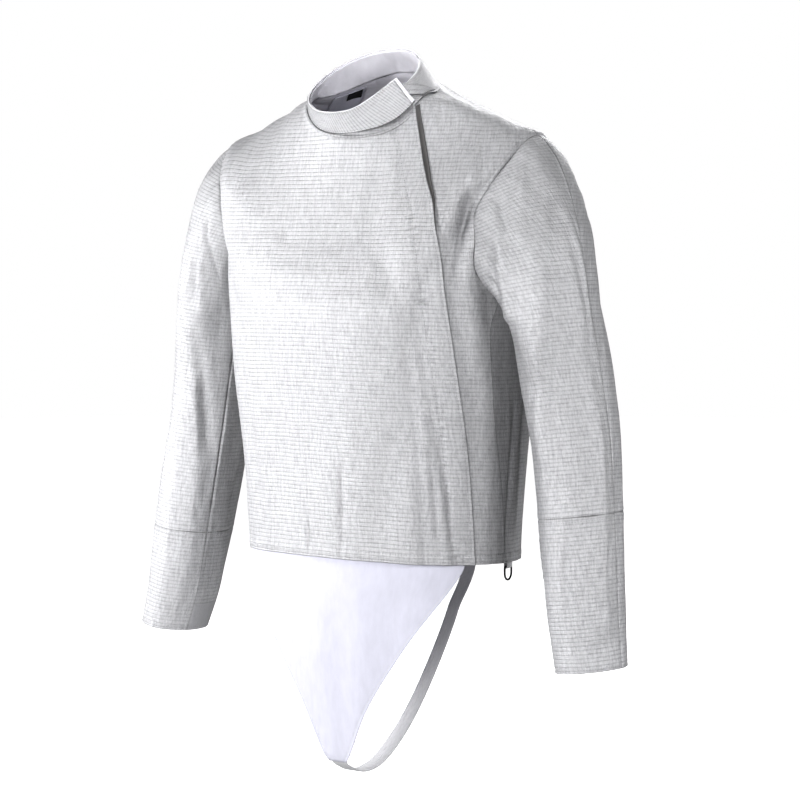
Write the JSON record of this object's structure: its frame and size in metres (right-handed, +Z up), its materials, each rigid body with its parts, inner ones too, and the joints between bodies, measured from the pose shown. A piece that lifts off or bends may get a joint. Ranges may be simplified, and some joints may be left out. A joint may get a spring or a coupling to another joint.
{
  "type": "fencing lame jacket",
  "caption": "Hollow worn sabre fencing lamé: long-sleeved jacket of metallic cloth with stand collar, lapped front, white crotch panel and strap, and a D-ring at the hem.",
  "frame": {"origin": "in the neck opening, level with the sides of the collar seam, where the wearer's neck and shoulders carry the jacket", "axes": "+Z up, -Y to the wearer's front, +X to the wearer's left"},
  "size_m": [0.661, 0.2569, 0.823],
  "materials": {
    "lame_cloth": "metallic woven cloth, silver grey",
    "gusset_knit": "plain light grey knit",
    "lining_cloth": "matt pale lining",
    "white_cloth": "matt white woven cloth",
    "dark_tag": "matt dark woven tag",
    "elastic": "light grey woven elastic",
    "black_metal": "black painted wire"
  },
  "bodies": {
    "garment": {"front_right": "lame_cloth", "front_left": "lame_cloth", "back": "lame_cloth", "placket_tape": "lame_cloth", "collar_stand": "lame_cloth", "collar_tab": "lame_cloth", "sleeve_left_front_upper": "lame_cloth", "sleeve_left_front_fore": "lame_cloth", "sleeve_left_back_upper": "lame_cloth", "sleeve_left_back_fore": "lame_cloth", "sleeve_right_front_upper": "lame_cloth", "sleeve_right_front_fore": "lame_cloth", "sleeve_right_back_upper": "lame_cloth", "sleeve_right_back_fore": "lame_cloth", "cuff_gusset_left": "gusset_knit", "cuff_gusset_right": "gusset_knit", "collar_lining": "lining_cloth", "care_label": "white_cloth", "size_label": "dark_tag", "crotch_panel": "white_cloth", "crotch_strap": "elastic", "ring_webbing": "elastic"},
    "ring": {"d_ring": "black_metal"}
  },
  "joints": [
    {"name": "ring_swing", "type": "hinge", "parent": "garment", "child": "ring", "pos_m": [0.16564, 0.02277, -0.52731], "axis": [0.1051, -0.9945, 0], "range_deg": [-150, 120]}
  ]
}
